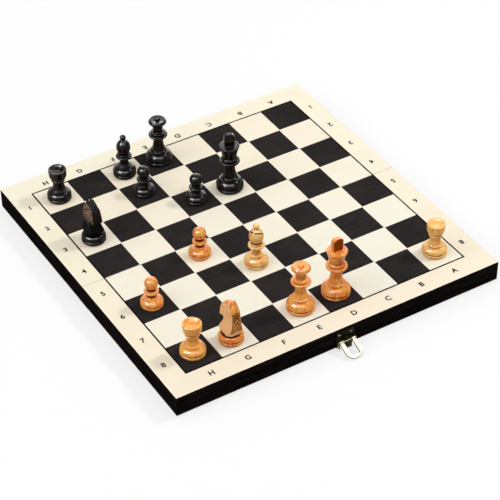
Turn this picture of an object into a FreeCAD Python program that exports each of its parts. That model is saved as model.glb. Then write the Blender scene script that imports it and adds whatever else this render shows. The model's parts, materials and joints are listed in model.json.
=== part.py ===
import FreeCAD, Part
import math
import os
import re
import Sketcher

# A folding wooden games board: two shallow trays hinged together, a chess board on the outside and
# a backgammon field on the inside, closed by a stamped brass loop, with chess men standing on it.
# +X runs along the fold, +Y away from the latch, +Z up. The origin is the middle of the fold,
# on the plane of the tray rims that the board lies on.

doc = FreeCAD.newDocument("folding_games_board")
sheet = doc.addObject("Spreadsheet::Sheet", "Sizes")

# Sizes of the board, the hinges and the latch, in millimetres and degrees.
board_sizes = {
    "square": 38.0,
    "border": 24.0,
    "half_depth": 21.4,
    "panel_thick": 3.0,
    "rail_thick": 9.0,
    "fold_gap": 0.3,
    "close_gap": 0.2,
    "inlay_thick": 0.6,
    "inlay_gap": 0.7,
    "point_length": 124.0,
    "point_tip": 0.6,
    "hinge_place": 110.0,
    "leaf_length": 26.0,
    "leaf_width": 7.0,
    "leaf_thick": 0.5,
    "leaf_sunk": 0.1,
    "barrel_radius": 1.0,
    "barrel_room": 0.3,
    "knuckle_middle": 8.6,
    "knuckle_gap": 0.2,
    "hinge_pin_radius": 0.5,
    "running_fit": 0.05,
    "mortise_room": 0.1,
    "hinge_screw_place": 9.0,
    "hinge_screw_reach": 4.4,
    "hinge_screw_head": 1.5,
    "hinge_screw_shank": 0.8,
    "hinge_screw_length": 7.0,
    "pilot_room": 0.05,
    "latch_place": 1.0,
    "latch_plate_low": 0.8,
    "latch_plate_drop": 3.9,
    "latch_plate_corner": 3.0,
    "latch_plate_thick": 0.8,
    "latch_axis_height": 8.6,
    "latch_axis_out": 4.6,
    "latch_eye_radius": 1.3,
    "latch_pin_radius": 0.6,
    "latch_knuckle_room": 0.35,
    "latch_ear_room": 0.3,
    "loop_width": 17.6,
    "loop_strip": 4.2,
    "loop_thick": 1.6,
    "loop_arm": 13.4,
    "loop_bow_ease": 1.0,
    "loop_window": 15.3,
    "loop_droop": 24.0,
    "latch_screw_place": 6.2,
    "latch_screw_drop": 4.0,
    "latch_screw_head": 1.7,
    "latch_screw_dome": 0.8,
    "latch_screw_shank": 0.9,
    "latch_screw_length": 6.0,
    "catch_width": 14.0,
    "catch_height": 12.0,
    "catch_drop": 6.6,
    "catch_corner": 2.0,
    "tongue_room": 2.2,
    "tongue_height": 3.3,
    "tongue_out": 5.8,
    "tongue_thick": 1.2,
    "catch_screw_place": 4.8,
    "catch_screw_drop": 6.0,
    "felt_thick": 0.5,
    "felt_inset": 0.2,
    "finial_foot": 9.6,
    "finial_width": 11.0,
    "finial_shoulder": 61.0,
    "finial_sunk": 51.0,
    "finial_arch": 5.6,
    "finial_thick": 4.8,
    "slit_height": 37.4,
    "slit_width": 1.1,
    "slit_slope": 0.55,
    "slit_reach": 9.0,
    "head_thick": 12.6,
    "head_low_width": 6.3,
    "head_top_width": 3.0,
    "head_taper_foot": 13.4,
    "head_taper_top": 52.0,
    "head_round_low": 11.6,
    "head_round_high": 14.2,
    "head_flare_radius": 15.0,
    "head_flare_height": 26.0,
}

# Turned profiles of the men, from the seat on the felt up to the axis at the top. Each station is a
# radius, a height above the board and the radius of the arc that reaches it: 0 for a straight run,
# positive for a swelling, negative for a hollow, and "dome" for a ball centred on the axis.
turned_profiles = {
    "king": [
        ("seat", 12.9, 0.5, 0),
        ("foot", 13.2, 0.8, 0),
        ("foot_top", 13.1, 3.7, 2.0),
        ("groove", 12.6, 4.3, 0),
        ("bulge", 13.8, 5.7, 1.4),
        ("shoulder", 9.0, 12.2, 8.0),
        ("ring", 8.2, 12.5, 0),
        ("ring_top", 8.0, 14.4, 1.1),
        ("stem", 7.4, 14.7, 0),
        ("stem_top", 6.5, 31.0, -24.0),
        ("collar", 9.7, 32.4, 0),
        ("collar_top", 9.7, 34.9, 1.45),
        ("upper_ring", 8.2, 35.3, 0),
        ("upper_ring_top", 7.9, 37.3, 1.1),
        ("neck", 7.3, 37.7, 0),
        ("crown", 9.8, 50.4, -36.0),
        ("crown_rim", 10.0, 51.0, 0),
        ("crown_top", 9.6, 51.6, 0),
        ("crown_rise", 5.6, 52.6, 0),
        ("apex", 0, 53.0, 0),
    ],
    "queen": [
        ("seat", 12.6, 0.5, 0),
        ("foot", 12.9, 0.8, 0),
        ("foot_top", 12.8, 3.7, 2.0),
        ("groove", 12.3, 4.3, 0),
        ("bulge", 13.4, 5.7, 1.4),
        ("shoulder", 8.8, 12.1, 7.8),
        ("ring", 8.1, 12.5, 0),
        ("ring_top", 7.8, 14.6, 1.1),
        ("stem", 7.2, 14.9, 0),
        ("stem_top", 5.9, 30.2, -20.0),
        ("collar", 8.9, 31.4, 0),
        ("collar_top", 8.9, 33.8, 1.4),
        ("upper_ring", 7.6, 34.2, 0),
        ("upper_ring_top", 7.3, 36.2, 1.1),
        ("neck", 5.3, 36.6, 0),
        ("neck_top", 5.6, 41.4, -9.0),
        ("crown", 7.8, 45.3, -6.0),
        ("crown_top", 6.7, 51.3, 3.4),
        ("dish", 3.0, 50.5, -9.0),
        ("button", 2.4, 50.8, 0),
        ("apex", 0, 52.9, "dome"),
    ],
    "bishop": [
        ("seat", 11.0, 0.5, 0),
        ("foot", 11.3, 0.8, 0),
        ("foot_top", 11.2, 3.4, 2.0),
        ("groove", 10.6, 4.0, 0),
        ("bulge", 11.7, 5.2, 1.3),
        ("shoulder", 7.4, 10.4, 6.6),
        ("ring", 6.9, 10.8, 0),
        ("ring_top", 6.6, 12.7, 1.05),
        ("stem", 5.3, 13.0, 0),
        ("stem_top", 4.9, 20.6, -7.7),
        ("collar", 7.5, 21.8, 0),
        ("collar_top", 7.5, 24.1, 1.35),
        ("upper_ring", 6.3, 24.4, 0),
        ("upper_ring_top", 6.0, 26.2, 1.0),
        ("neck", 4.4, 26.5, 0),
        ("mitre", 2.2, 41.8, 9.6),
        ("ball", 1.9, 42.35, 0),
        ("apex", 0, 47.9, "dome"),
    ],
    "rook": [
        ("seat", 11.3, 0.5, 0),
        ("foot", 11.6, 0.8, 0),
        ("foot_top", 11.5, 3.7, 2.0),
        ("groove", 10.9, 4.4, 0),
        ("bulge", 12.0, 5.7, 1.3),
        ("shoulder", 8.4, 10.1, 5.2),
        ("ring", 7.9, 10.4, 0),
        ("ring_top", 7.6, 12.2, 1.05),
        ("neck", 6.8, 12.5, 0),
        ("neck_top", 5.7, 22.2, -15.0),
        ("bead", 6.2, 22.7, 0),
        ("bead_top", 6.2, 24.2, 0.9),
        ("crown", 6.0, 24.6, 0),
        ("crown_low", 8.3, 27.6, -4.5),
        ("crown_rim", 8.9, 35.0, 0),
        ("crown_top", 8.4, 35.6, 0.7),
        ("well", 6.1, 35.6, 0),
        ("well_floor", 5.4, 32.0, 0),
        ("apex", 0, 31.8, 0),
    ],
    "pawn": [
        ("seat", 10.1, 0.5, 0),
        ("foot", 10.4, 0.8, 0),
        ("foot_top", 10.3, 3.4, 2.0),
        ("groove", 9.7, 4.0, 0),
        ("bulge", 10.8, 5.2, 1.3),
        ("shoulder", 6.3, 9.8, 5.6),
        ("step", 5.6, 10.4, 0),
        ("neck", 4.2, 10.8, 0),
        ("neck_top", 4.4, 15.2, -4.3),
        ("collar", 6.0, 15.8, 0),
        ("collar_top", 6.0, 18.5, 1.6),
        ("throat", 4.2, 18.9, 0),
        ("head", 3.6, 20.62, 0),
        ("apex", 0, 32.5, "dome"),
    ],
    "knight": [
        ("seat", 11.2, 0.5, 0),
        ("foot", 11.5, 0.8, 0),
        ("foot_top", 11.4, 3.6, 2.0),
        ("groove", 10.8, 4.2, 0),
        ("bulge", 11.8, 5.4, 1.3),
        ("shoulder", 8.7, 9.5, 4.6),
        ("waist", 8.1, 10.2, 0),
        ("neck_foot", 9.3, 11.4, 0),
        ("neck_side", 9.5, 12.6, 1.2),
        ("neck_cap", 8.9, 13.2, 0),
        ("apex", 0, 13.2, 0),
    ],
}

# Side view of a knight's carved head, walked round the front from the back of its foot: distance
# forward of the axis, height above the board and the radius of the arc that reaches the station.
knight_head = [
    ("back_foot", -8.8, 12.0, 0),
    ("front_foot", 8.8, 12.0, 0),
    ("chest", 7.6, 19.4, 14.0),
    ("throat", 5.3, 26.2, -16.0),
    ("jaw", 7.4, 28.6, 0),
    ("chin", 11.2, 26.9, 0),
    ("lip", 13.0, 28.8, 1.8),
    ("nose", 11.9, 34.6, 6.0),
    ("brow", 5.4, 41.8, 0),
    ("forelock", -1.2, 45.4, 12.0),
    ("ear", -4.6, 49.2, 0),
    ("ear_back", -6.6, 45.2, 0),
    ("mane", -10.9, 31.0, 22.0),
]

# Where the men stand: the kind of man, the place of its axis along the fold and away from the latch,
# and the angle in degrees that it was turned by as it was set down.
men = [
    ("natural_rook_h8", "rook", -134.0, -132.9, 0),
    ("natural_knight_g8", "knight", -95.5, -135.3, 0),
    ("natural_queen_e8", "queen", -19.3, -132.5, 0),
    ("natural_king_d8", "king", 20.0, -132.0, 0),
    ("natural_rook_a8", "rook", 132.7, -132.2, 0),
    ("natural_pawn_h6", "pawn", -132.9, -56.3, 0),
    ("natural_bishop_e6", "bishop", -19.8, -56.4, -51),
    ("natural_pawn_f5", "pawn", -58.7, -17.0, 0),
    ("black_knight_h3", "knight", -133.6, 56.8, 180),
    ("black_pawn_e3", "pawn", -19.1, 57.0, 0),
    ("black_king_d3", "king", 20.1, 58.1, -20),
    ("black_pawn_f2", "pawn", -56.6, 95.3, 0),
    ("black_rook_h1", "rook", -132.0, 132.5, 0),
    ("black_bishop_f1", "bishop", -58.2, 133.1, 150),
    ("black_queen_e1", "queen", -17.6, 134.9, 0),
]

for name, kind, along, away, facing in men:
    board_sizes[f"{name}_along"] = along
    board_sizes[f"{name}_away"] = away
    board_sizes[f"{name}_facing"] = facing
for kind, stations in turned_profiles.items():
    for station, radius, height, curve in stations:
        board_sizes[f"{kind}_{station}_radius"] = radius
        board_sizes[f"{kind}_{station}_height"] = height
        if curve and curve != "dome":
            board_sizes[f"{kind}_{station}_curve"] = abs(curve)
for station, forward, height, curve in knight_head:
    board_sizes[f"head_{station}_forward"] = forward
    board_sizes[f"head_{station}_height"] = height
    if curve:
        board_sizes[f"head_{station}_curve"] = abs(curve)

for row, (name, value) in enumerate(board_sizes.items(), start=1):
    sheet.set(f"A{row}", name)
    sheet.set(f"B{row}", str(value))
    sheet.setAlias(f"B{row}", name)
doc.recompute()


def size(text):
    """The value of an expression written with the sheet's words."""
    return float(sheet.evalExpression(in_sheet(text)))


def in_sheet(text):
    """The same expression with every word pointing at its cell."""
    return re.sub(r"[a-z][a-z_0-9]*", lambda word: f"Sizes.{word.group()}", text)


def bind(piece, **sizes):
    """Ties properties of a piece to the sheet; x, y and z are the place of its corner or axis."""
    for name, text in sizes.items():
        path = f"Placement.Base.{name}" if name in "xyz" else name
        path = "Placement.Rotation.Angle" if name == "angle" else path
        piece.setExpression(path, in_sheet(text))
    return piece


def block(name, length, width, height, x, y, z):
    """A rectangular piece with its lowest corner at x, y, z."""
    piece = doc.addObject("Part::Box", name)
    return bind(piece, Length=length, Width=width, Height=height, x=x, y=y, z=z)


def turn(piece, axis, angle):
    """Turns a piece about its own place, by an angle in the sheet or by a whole number of degrees."""
    piece.Placement.Rotation = FreeCAD.Rotation(FreeCAD.Vector(*axis), size(f"{angle}"))
    return bind(piece, angle=f"{angle}")


def rod(name, radius, length, x, y, z, axis):
    """A round piece that starts at x, y, z and runs along +X, +Y or +Z, or along -Y."""
    piece = doc.addObject("Part::Cylinder", name)
    bind(piece, Radius=radius, Height=length, x=x, y=y, z=z)
    turns = {"+X": ((0, 1, 0), 90), "+Y": ((1, 0, 0), -90), "-Y": ((1, 0, 0), 90), "+Z": ((0, 0, 1), 0)}
    return turn(piece, *turns[axis])


def join(name, pieces):
    """Several shapes made into one piece of material."""
    piece = doc.addObject("Part::MultiFuse", name)
    piece.Shapes = pieces
    return piece


def group(name, pieces):
    """Several equal loose pieces kept together, such as a set of inlays or screws."""
    piece = doc.addObject("Part::Compound", name)
    piece.Links = pieces
    return piece


def cut(name, base, tools):
    """A piece with the shapes of the tools taken away."""
    piece = doc.addObject("Part::Cut", name)
    piece.Base = base
    piece.Tool = group(f"{name}_cutters", tools)
    return piece


def plane(body, role):
    """One of a body's own origin planes."""
    return [feature for feature in body.Origin.OriginFeatures if feature.Role == role][0]


def outline(body, name, role, stations):
    """A closed sketch through the stations, each an across expression, an up expression, the
    expression of the radius of the arc that reaches it, and the way that arc bends (+1, 0, -1)."""
    sketch = body.newObject("Sketcher::SketchObject", name)
    sketch.AttachmentSupport = (plane(body, role), [""])
    sketch.MapMode = "FlatFace"
    corners = [FreeCAD.Vector(size(across), size(up), 0) for across, up, curve, way in stations]
    count = len(corners)
    ends = []
    for index in range(count):
        start = corners[index]
        end = corners[(index + 1) % count]
        across, up, curve, way = stations[(index + 1) % count]
        if not way:
            sketch.addGeometry(Part.LineSegment(start, end), False)
            ends.append((1, 2))
            continue
        radius = size(curve)
        run = end - start
        inward = FreeCAD.Vector(-run.y, run.x, 0).normalize() * way
        centre = (start + end) * 0.5 + inward * math.sqrt(radius**2 - run.Length**2 / 4)
        first, last = (start, end) if way > 0 else (end, start)
        from_angle = math.atan2(first.y - centre.y, first.x - centre.x)
        to_angle = math.atan2(last.y - centre.y, last.x - centre.x)
        circle = Part.Circle(centre, FreeCAD.Vector(0, 0, 1), radius)
        sketch.addGeometry(Part.ArcOfCircle(circle, from_angle, to_angle), False)
        ends.append((1, 2) if way > 0 else (2, 1))
    for index in range(count):
        following = (index + 1) % count
        joint = Sketcher.Constraint("Coincident", index, ends[index][1], following, ends[following][0])
        sketch.addConstraint(joint)
    for index, (across, up, curve, way) in enumerate(stations):
        corner = corners[index]
        measures = [("DistanceX", corner.x, across), ("DistanceY", corner.y, up)]
        for kind, value, text in measures:
            number = sketch.addConstraint(Sketcher.Constraint(kind, -1, 1, index, ends[index][0], value))
            sketch.setExpression(f"Constraints[{number}]", in_sheet(text))
        if way:
            arc = (index - 1) % count
            number = sketch.addConstraint(Sketcher.Constraint("Radius", arc, size(curve)))
            sketch.setExpression(f"Constraints[{number}]", in_sheet(curve))
    return sketch


def bend(curve):
    """Which way an arc bends: +1 for a swelling, -1 for a hollow, 0 for a straight run."""
    return (curve > 0) - (curve < 0)


half_length = "(square * 4 + border)"
board_length = "(square * 8 + border * 2)"
half_span = f"({half_length} - fold_gap / 2)"
rail_height = "(half_depth - panel_thick)"
fold_height = "(0 - close_gap / 2)"
point_pitch = f"(({half_span} - rail_thick * 2) / 6)"

# The two halves, each a panel glued on a frame of four rails. The panel's outer face carries the
# dark squares of the chess board and its inner face the backgammon points, all let in flush.
nodes = []
hinge_rail_blanks = {}
outer_rail_blanks = {}
for half, side in (("near", -1), ("far", 1)):
    low_y = f"(0 - {half_length})" if side < 0 else "(fold_gap / 2)"
    outer_y = f"(0 - {half_length})" if side < 0 else f"({half_length} - rail_thick)"
    inner_y = "(0 - fold_gap / 2 - rail_thick)" if side < 0 else "(fold_gap / 2)"
    field_y = f"({low_y} + rail_thick)"

    squares = []
    for rank in range(4):
        for file in range(8):
            row = rank if side < 0 else rank + 4
            if (file + row) % 2:
                continue
            tile = block(
                f"{half}_square_{file}_{rank}",
                "square - inlay_gap",
                "square - inlay_gap",
                "inlay_thick",
                f"square * {file - 4} + inlay_gap / 2",
                f"square * {row - 4} + inlay_gap / 2",
                "half_depth - inlay_thick",
            )
            squares.append(tile)
    dark_squares = group(f"{half}_dark_squares", squares)

    points = {"dark": [], "pale": []}
    for end, sign in (("left", -1), ("right", 1)):
        for number in range(6):
            tone = "dark" if (number + (sign > 0)) % 2 == 0 else "pale"
            point = doc.addObject("Part::Wedge", f"{half}_point_{end}_{number}")
            base_y = f"{field_y} + {point_pitch} * {number if sign > 0 else number + 1}"
            bind(
                point,
                Xmin="inlay_gap / 2",
                Xmax=f"{point_pitch} - inlay_gap / 2",
                Ymin="0",
                Ymax="point_length",
                Zmin="0",
                Zmax="inlay_thick",
                X2min=f"{point_pitch} / 2 - point_tip / 2",
                X2max=f"{point_pitch} / 2 + point_tip / 2",
                Z2min="0",
                Z2max="inlay_thick",
                x=f"({half_length} - rail_thick) * {sign}",
                y=base_y,
                z=rail_height,
            )
            turn(point, (0, 0, 1), 90 * sign)
            points[tone].append(point)
    dark_points = group(f"{half}_dark_points", points["dark"])
    pale_points = group(f"{half}_pale_points", points["pale"])

    left = f"0 - {half_length}"
    sheet_of_wood = block(
        f"{half}_panel_blank", board_length, half_span, "panel_thick", left, low_y, rail_height
    )
    panel = cut(f"{half}_panel", sheet_of_wood, [dark_squares, dark_points, pale_points])

    outer_rail_blanks[half] = block(
        f"{half}_outer_rail_blank", board_length, "rail_thick", rail_height, left, outer_y, "0"
    )
    hinge_rail_blanks[half] = block(
        f"{half}_hinge_rail_blank", board_length, "rail_thick", rail_height, left, inner_y, "0"
    )
    side_length = f"{half_span} - rail_thick * 2"
    right = f"{half_length} - rail_thick"
    left_rail = block(f"{half}_left_rail", "rail_thick", side_length, rail_height, left, field_y, "0")
    right_rail = block(f"{half}_right_rail", "rail_thick", side_length, rail_height, right, field_y, "0")
    nodes += [panel, dark_squares, dark_points, pale_points, left_rail, right_rail]

# Two brass butt hinges on the fold. Each leaf is let into the rim of its hinge rail, the near leaf
# carries the two outer knuckles and the pin, and the far leaf turns on the pin by its middle knuckle.
rail_cutters = {"near": [], "far": []}
hinge_screws = {"near": [], "far": []}
for hinge, sign in (("left", -1), ("right", 1)):
    middle = f"(hinge_place * {sign})"
    start = f"({middle} - leaf_length / 2)"
    outer_knuckle = "(leaf_length / 2 - knuckle_middle / 2 - knuckle_gap)"
    plate_edge = "(barrel_radius + barrel_room + running_fit)"
    hinge_pin = rod(f"{hinge}_hinge_pin", "hinge_pin_radius", "leaf_length", start, "0", fold_height, "+X")
    nodes.append(hinge_pin)
    for half, side in (("near", -1), ("far", 1)):
        name = f"{hinge}_hinge_{half}_leaf"
        plate_y = "(0 - leaf_width)" if side < 0 else plate_edge
        tab_y = f"(0 - {plate_edge})" if side < 0 else "0"
        if half == "near":
            second = f"{middle} + knuckle_middle / 2 + knuckle_gap"
            knuckles = [(start, outer_knuckle), (second, outer_knuckle)]
            bore_radius = "hinge_pin_radius"
        else:
            knuckles = [(f"{middle} - knuckle_middle / 2", "knuckle_middle")]
            bore_radius = "hinge_pin_radius + running_fit"
        plate_width = f"leaf_width - {plate_edge}"
        plate = f"{name}_plate"
        metal = [block(plate, "leaf_length", plate_width, "leaf_thick", start, plate_y, "leaf_sunk")]
        for number, (x, width) in enumerate(knuckles):
            tab = f"{name}_tab_{number}"
            metal.append(block(tab, width, plate_edge, "leaf_thick", x, tab_y, "leaf_sunk"))
            metal.append(rod(f"{name}_knuckle_{number}", "barrel_radius", width, x, "0", fold_height, "+X"))
        holes = [rod(f"{name}_bore", bore_radius, "leaf_length", start, "0", fold_height, "+X")]
        for number, away in enumerate((-1, 1)):
            screw = f"{hinge}_{half}_screw_{number}"
            x = f"{middle} + hinge_screw_place * {away}"
            y = f"hinge_screw_reach * {side}"
            head = doc.addObject("Part::Cone", f"{screw}_head")
            bind(head, Radius1="hinge_screw_head", Radius2="hinge_screw_shank", Height="leaf_thick")
            bind(head, x=x, y=y, z="leaf_sunk")
            shank_z = "leaf_sunk + leaf_thick"
            shank = rod(f"{screw}_shank", "hinge_screw_shank", "hinge_screw_length", x, y, shank_z, "+Z")
            hinge_screws[half].append(join(screw, [head, shank]))
            holes.append(head)
            pilot = "hinge_screw_shank + pilot_room"
            depth = "hinge_screw_length + pilot_room"
            rail_cutters[half].append(rod(f"{screw}_pilot", pilot, depth, x, y, shank_z, "+Z"))
        leaf = cut(name, join(f"{name}_metal", metal), holes)
        nodes.append(leaf)
        rail_cutters[half].append(
            rod(
                f"{name}_relief",
                "barrel_radius + barrel_room",
                "leaf_length + barrel_room * 2",
                f"{start} - barrel_room",
                "0",
                fold_height,
                "+X",
            )
        )
        mortise_y = "(0 - leaf_width - mortise_room)" if side < 0 else "0"
        rail_cutters[half].append(
            block(
                f"{name}_mortise",
                "leaf_length + mortise_room * 2",
                "leaf_width + mortise_room",
                "leaf_sunk + leaf_thick + mortise_room",
                f"{start} - mortise_room",
                mortise_y,
                "0 - mortise_room",
            )
        )
for half in ("near", "far"):
    nodes.append(cut(f"{half}_hinge_rail", hinge_rail_blanks[half], rail_cutters[half]))
    nodes.append(group(f"{half}_hinge_screws", hinge_screws[half]))

# The latch on the near wall: a screwed plate whose sides are bent out as two ears, with a tongue in the
# middle that is curled over the pin and hangs down, and a stamped loop that swings on the pin and,
# when the board is shut, drops over the tongue of the catch.
wall = f"(0 - {half_length})"
latch_axis_y = f"({wall} - latch_axis_out)"
loop_half = "(loop_width / 2)"
plate_half = f"({loop_half} + latch_ear_room + latch_plate_thick)"
plate_top = "(half_depth - latch_plate_drop)"
plate_body = doc.addObject("PartDesign::Body", "latch_plate_sheet")
plate_sketch = outline(
    plate_body,
    "latch_plate_outline",
    "XZ_Plane",
    [
        (f"0 - {plate_half}", "latch_plate_low", "", 0),
        (plate_half, "latch_plate_low", "", 0),
        (plate_half, f"{plate_top} - latch_plate_corner", "", 0),
        (f"{plate_half} - latch_plate_corner", plate_top, "latch_plate_corner", 1),
        (f"latch_plate_corner - {plate_half}", plate_top, "", 0),
        (f"0 - {plate_half}", f"{plate_top} - latch_plate_corner", "latch_plate_corner", 1),
    ],
)
plate_pad = plate_body.newObject("PartDesign::Pad", "latch_plate_pad")
plate_pad.Profile = plate_sketch
bind(plate_pad, Length="latch_plate_thick")
bind(plate_body, x="latch_place", y=wall)

window_half = f"({loop_half} - loop_strip)"
knuckle_half = f"({window_half} - latch_knuckle_room)"
knuckle_width = f"{knuckle_half} * 2"
knuckle_x = f"latch_place - {knuckle_half}"
pin_height = "latch_axis_height"
latch_knuckle = rod(
    "latch_knuckle", "latch_eye_radius", knuckle_width, knuckle_x, latch_axis_y, pin_height, "+X"
)
latch_web = block(
    "latch_web",
    knuckle_width,
    "latch_axis_out - latch_plate_thick / 2",
    "latch_eye_radius - latch_pin_radius",
    knuckle_x,
    latch_axis_y,
    f"{pin_height} + latch_pin_radius",
)
latch_tail = block(
    "latch_tail",
    knuckle_width,
    "latch_eye_radius - latch_pin_radius",
    f"{pin_height} - latch_plate_low",
    knuckle_x,
    f"{latch_axis_y} - latch_eye_radius",
    "latch_plate_low",
)
latch_ears = []
for end, ear_x in (
    ("left", f"latch_place - {plate_half}"),
    ("right", f"latch_place + {plate_half} - latch_plate_thick"),
):
    latch_ears.append(
        block(
            f"latch_{end}_ear",
            "latch_plate_thick",
            "latch_axis_out + latch_eye_radius - latch_plate_thick / 2",
            f"{pin_height} + latch_eye_radius - latch_plate_low",
            ear_x,
            f"{latch_axis_y} - latch_eye_radius",
            "latch_plate_low",
        )
    )
pin_length = f"{plate_half} * 2"
pin_x = f"latch_place - {plate_half}"
latch_bore = rod("latch_bore", "latch_pin_radius", pin_length, pin_x, latch_axis_y, pin_height, "+X")
screw_pilots = {"near": [], "far": []}
screw_sets = {"latch": [], "catch": []}
for number, away in enumerate((-1, 1)):
    for fitting, half, side in (("latch", "near", -1), ("catch", "far", 1)):
        screw = f"{fitting}_screw_{number}"
        x = f"latch_place + {fitting}_screw_place * {away}"
        z = f"(half_depth - {fitting}_{'plate_' if side < 0 else ''}drop - {fitting}_screw_drop)"
        face_y = f"({half_length} + latch_plate_thick) * {side}"
        inward = "+Y" if side < 0 else "-Y"
        shank_length = "latch_screw_length + latch_plate_thick"
        shank = rod(f"{screw}_shank", "latch_screw_shank", shank_length, x, face_y, z, inward)
        head = doc.addObject("Part::Sphere", f"{screw}_head")
        dome_radius = "(latch_screw_head * latch_screw_head + latch_screw_dome * latch_screw_dome)"
        dome_radius = f"({dome_radius} / latch_screw_dome / 2)"
        dome_centre = f"{face_y} + ({dome_radius} - latch_screw_dome) * {0 - side}"
        bind(head, Radius=dome_radius, x=x, y=dome_centre, z=z)
        keep_y = face_y if side > 0 else f"{face_y} - latch_screw_dome"
        dome_room = block(
            f"{screw}_room",
            "latch_screw_head * 2",
            "latch_screw_dome",
            "latch_screw_head * 2",
            f"{x} - latch_screw_head",
            keep_y,
            f"{z} - latch_screw_head",
        )
        dome = doc.addObject("Part::Common", f"{screw}_dome")
        dome.Base = head
        dome.Tool = dome_room
        screw_sets[fitting].append(join(screw, [shank, dome]))
        pilot_radius = "latch_screw_shank + pilot_room"
        pilot_length = f"{shank_length} + pilot_room"
        screw_pilots[half].append(rod(f"{screw}_pilot", pilot_radius, pilot_length, x, face_y, z, inward))
latch_metal = join("latch_metal", [plate_body, latch_web, latch_knuckle, latch_tail] + latch_ears)
latch_plate = cut("latch_plate", latch_metal, [latch_bore] + screw_pilots["near"])
latch_screws = group("latch_screws", screw_sets["latch"])
latch_pin = rod("latch_pin", "latch_pin_radius", pin_length, pin_x, latch_axis_y, pin_height, "+X")

loop_bow = f"({loop_half} + loop_bow_ease)"
loop_body = doc.addObject("PartDesign::Body", "latch_loop")
loop_sketch = outline(
    loop_body,
    "loop_outline",
    "XY_Plane",
    [
        (f"0 - {loop_half}", "0", "", 0),
        (f"0 - {loop_half}", "0 - loop_arm", "", 0),
        (loop_half, "0 - loop_arm", loop_bow, 1),
        (loop_half, "0", "", 0),
        (window_half, "0", "", 0),
        (window_half, "0 - loop_window", "", 0),
        (f"0 - {window_half}", "0 - loop_window", "", 0),
        (f"0 - {window_half}", "0", "", 0),
    ],
)
loop_pad = loop_body.newObject("PartDesign::Pad", "loop_strip_pad")
loop_pad.Profile = loop_sketch
loop_pad.SideType = "Symmetric"
bind(loop_pad, Length="loop_thick")
for end, sign in (("left", -1), ("right", 1)):
    eye = loop_body.newObject("PartDesign::AdditiveCylinder", f"loop_{end}_eye")
    bind(eye, Radius="latch_eye_radius", Height="loop_strip")
    bind(eye, x=window_half if sign > 0 else f"0 - {loop_half}")
    turn(eye, (0, 1, 0), 90)
loop_bore = loop_body.newObject("PartDesign::SubtractiveCylinder", "loop_bore")
bind(loop_bore, Radius="latch_pin_radius + running_fit", Height="loop_width", x=f"0 - {loop_half}")
turn(loop_bore, (0, 1, 0), 90)
bind(loop_body, x="latch_place", y=latch_axis_y, z=pin_height)
turn(loop_body, (1, 0, 0), "loop_droop")

catch_half = "(catch_width / 2)"
catch_top = "(half_depth - catch_drop)"
catch_body = doc.addObject("PartDesign::Body", "catch_sheet")
catch_sketch = outline(
    catch_body,
    "catch_outline",
    "XZ_Plane",
    [
        (f"0 - {catch_half}", f"{catch_top} - catch_height", "", 0),
        (catch_half, f"{catch_top} - catch_height", "", 0),
        (catch_half, f"{catch_top} - catch_corner", "", 0),
        (f"{catch_half} - catch_corner", catch_top, "catch_corner", 1),
        (f"catch_corner - {catch_half}", catch_top, "", 0),
        (f"0 - {catch_half}", f"{catch_top} - catch_corner", "catch_corner", 1),
    ],
)
catch_pad = catch_body.newObject("PartDesign::Pad", "catch_pad")
catch_pad.Profile = catch_sketch
bind(catch_pad, Length="latch_plate_thick")
bind(catch_body, x="latch_place", y=f"{half_length} + latch_plate_thick")
tongue_half = f"({window_half} - tongue_room)"
tongue_width = f"{tongue_half} * 2"
tongue_x = f"latch_place - {tongue_half}"
tongue = block(
    "catch_tongue",
    tongue_width,
    "tongue_out - tongue_thick / 2",
    "tongue_thick",
    tongue_x,
    f"{half_length} + latch_plate_thick / 2",
    "tongue_height",
)
tongue_lip = rod(
    "catch_lip",
    "tongue_thick",
    tongue_width,
    tongue_x,
    f"{half_length} + tongue_out - tongue_thick / 2",
    "tongue_height + tongue_thick",
    "+X",
)
catch_metal = join("catch_metal", [catch_body, tongue, tongue_lip])
catch_plate = cut("catch_plate", catch_metal, screw_pilots["far"])
catch_screws = group("catch_screws", screw_sets["catch"])
for half in ("near", "far"):
    nodes.append(cut(f"{half}_outer_rail", outer_rail_blanks[half], screw_pilots[half]))
nodes += [latch_plate, latch_screws, latch_pin, loop_body, catch_plate, catch_screws]

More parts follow.
